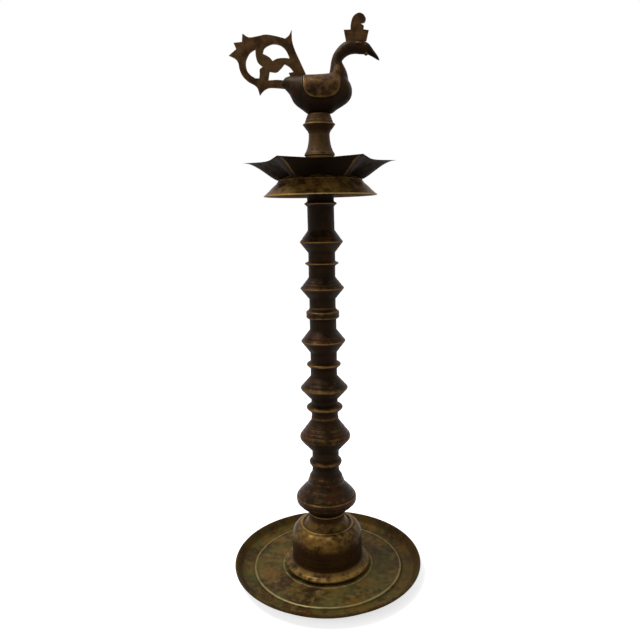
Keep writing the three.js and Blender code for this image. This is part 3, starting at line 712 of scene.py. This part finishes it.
def makeTail():
    fan = runsOf(
        [(-15.2, 48.2), (-21.6, 62.3), (-28.6, 77.9), (-31.7, 88.8), (-32.1, 101.7)],
        [(-32.1, 101.7), (-35.5, 95.5), (-40.6, 91.6)],
        [(-40.6, 91.6), (-51.5, 94.6), (-64.5, 96.8), (-76, 95), (-86.3, 94), (-94.2, 98.7)],
        [(-94.2, 98.7), (-95.2, 88.8)], [(-95.2, 88.8), (-105.8, 87.8)], [(-105.8, 87.8), (-102.8, 80.3)],
        [(-102.8, 80.3), (-112.4, 72.8)],
        [(-112.4, 72.8), (-104.7, 68.9), (-100.9, 63.5), (-99.6, 56.2), (-96.4, 48.4), (-89.5, 41.2), (-81.2, 36.4),
         (-77.4, 32.1), (-75, 23.7)],
        [(-75, 23.7), (-70.2, 29.1), (-63.5, 32.6), (-53.3, 32.5), (-43.1, 31.4)],
        [(-43.1, 31.4), (-38, 28.8)], [(-38, 28.8), (-24.6, 28.8)], [(-24.6, 28.8), (-24.6, 48.2)],
        [(-24.6, 48.2), (-15.2, 48.2)])
    dome = runsOf(
        [(-69.5, 74.3), (-66.6, 80.9), (-57.1, 85.2), (-47, 83.7), (-40, 77.6), (-35.5, 67.9)],
        [(-35.5, 67.9), (-43.1, 68.6), (-51.5, 67.9), (-57.1, 65.3)], [(-57.1, 65.3), (-61.5, 70), (-69.5, 74.3)])
    crescent = runsOf(
        [(-78.7, 79.6), (-86, 74.8), (-91, 65.3), (-90.4, 55.6), (-86, 49), (-79.6, 44.8)],
        [(-79.6, 44.8), (-74.9, 44.8)], [(-74.9, 44.8), (-74.2, 50.2), (-73.9, 55.6), (-70.2, 58.4)],
        [(-70.2, 58.4), (-76, 63.8), (-78.2, 70.7), (-78.7, 79.6)])
    lower = runsOf(
        [(-61.5, 52.3), (-52.9, 51.5), (-47.2, 55.6), (-42.1, 61.2)], [(-42.1, 61.2), (-35.5, 57.1), (-31.1, 51.5)],
        [(-31.1, 51.5), (-37.2, 50.6)], [(-37.2, 50.6), (-35.7, 46.8)], [(-35.7, 46.8), (-42.1, 44.8)],
        [(-42.1, 44.8), (-41.8, 41.3)], [(-41.8, 41.3), (-51.5, 42.4), (-63.3, 42)], [(-63.3, 42), (-61.5, 52.3)])
    flatCasting("tailFan", [fan, dome, crescent, lower], 4.5, 0.9, brownBronze, "dark_bronze", "tail_fan")


crest = {"sunk": 2.5, "thick": 3.6}  # it sits this far down over the head


def makeCrest():
    outline = runsOf(
        [(43.3, 82.3), (52.7, 82.3)], [(52.7, 82.3), (52.7, 89.3)], [(52.7, 89.3), (62, 89.3)],
        [(62, 89.3), (65.2, 102.1)], [(65.2, 102.1), (58.4, 103.2)], [(58.4, 103.2), (58.6, 107.6), (54.2, 110.3)],
        [(54.2, 110.3), (59.8, 111.2), (61.4, 115.8), (58, 121.2), (52, 122.8), (45.5, 118.6), (42.6, 111),
         (41.9, 103.2)],
        [(41.9, 103.2), (33.6, 103.2)], [(33.6, 103.2), (36.2, 89.3)], [(36.2, 89.3), (43.3, 89.3)],
        [(43.3, 89.3), (43.3, 82.3)])
    sunk = outline - [0, crest["sunk"]]
    flatCasting("birdCrest", [sunk], crest["thick"], 0.8, brownBronze, "dark_bronze", "bird_crest")


# Floor, light and camera

def makeStage():
    size = 6.0
    mesh = bpy.data.meshes.new("floor")
    mesh.from_pydata([(-size, -size, 0), (size, -size, 0), (size, size, 0), (-size, size, 0)], [], [(0, 1, 2, 3)])
    floor = bpy.data.objects.new("floor", mesh)
    bpy.context.scene.collection.objects.link(floor)
    material = bpy.data.materials.new("paleFloor")
    material.use_nodes = True
    tree = material.node_tree
    shader = tree.nodes["Principled BSDF"]
    shader.inputs["Base Color"].default_value = (0.86, 0.86, 0.86, 1)
    shader.inputs["Roughness"].default_value = 0.9
    shader.inputs["Emission Color"].default_value = (1, 1, 1, 1)
    rays = newNode(tree, "ShaderNodeLightPath").outputs
    seen = mathOf(tree, "MAXIMUM", rays["Is Camera Ray"], rays["Is Glossy Ray"])
    tree.links.new(mathOf(tree, "MULTIPLY", seen, 0.68), shader.inputs["Emission Strength"])
    mesh.materials.append(material)

    world = bpy.data.worlds.new("studio")
    bpy.context.scene.world = world
    world.use_nodes = True
    tree = world.node_tree
    rays = newNode(tree, "ShaderNodeLightPath").outputs
    mirrored = mathOf(tree, "MAXIMUM", rays["Is Glossy Ray"], rays["Is Transmission Ray"])
    seen = mathOf(tree, "MAXIMUM", rays["Is Camera Ray"], mirrored)
    strength = mathOf(tree, "ADD", mathOf(tree, "MULTIPLY", seen, 0.65), 0.35)  # 1 where seen, .35 as light
    background = tree.nodes["Background"]
    background.inputs["Color"].default_value = (1, 1, 1, 1)
    tree.links.new(strength, background.inputs["Strength"])


def addLamp(name, place, target, size, power):
    light = bpy.data.lights.new(name, "AREA")
    light.shape = "DISK"
    light.size = size
    light.energy = power
    lamp = bpy.data.objects.new(name, light)
    lamp.location = place
    direction = Vector(target) - Vector(place)
    lamp.rotation_euler = direction.to_track_quat("-Z", "Y").to_euler()
    bpy.context.scene.collection.objects.link(lamp)


view = {"distance": 0.8, "height": 0.508, "side": -0.004, "pitch": 9.73, "roll": -1.2, "lens": 33.45}


def makeCamera():
    camera = bpy.data.cameras.new("camera")
    camera.lens = view["lens"]
    camera.sensor_width = 36
    camera.clip_start = 0.01
    holder = bpy.data.objects.new("camera", camera)
    tilt = Euler((math.radians(90 - view["pitch"]), 0, 0)).to_matrix()
    turned = tilt @ Matrix.Rotation(math.radians(view["roll"]), 3, "Z")
    holder.rotation_euler = turned.to_euler()
    holder.location = (view["side"], -view["distance"], view["height"])
    bpy.context.scene.collection.objects.link(holder)
    bpy.context.scene.camera = holder


makeCamera()
makeStage()
addLamp("key", (-0.8, -0.1, 2.3), (0, 0, 0.3), 1.1, 40)
addLamp("fill", (-1.3, -1.6, 1.5), (0, 0, 0.35), 1.3, 8)
print("stage, lamps and camera are in place")
makeTray()
makePedestal()
makeColumn()
print("base and column are made")
makeSkirt()
makeDish()
print("dish and skirt are made")
makeStem()
makeBird()
makeTail()
makeCrest()
for pin in ("tail_pin_upper", "tail_pin_lower"):
    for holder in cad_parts[pin].material_slots:
        holder.material = oliveBronze
print("bird finial is made")

bpy.context.scene.view_settings.view_transform = "Standard"
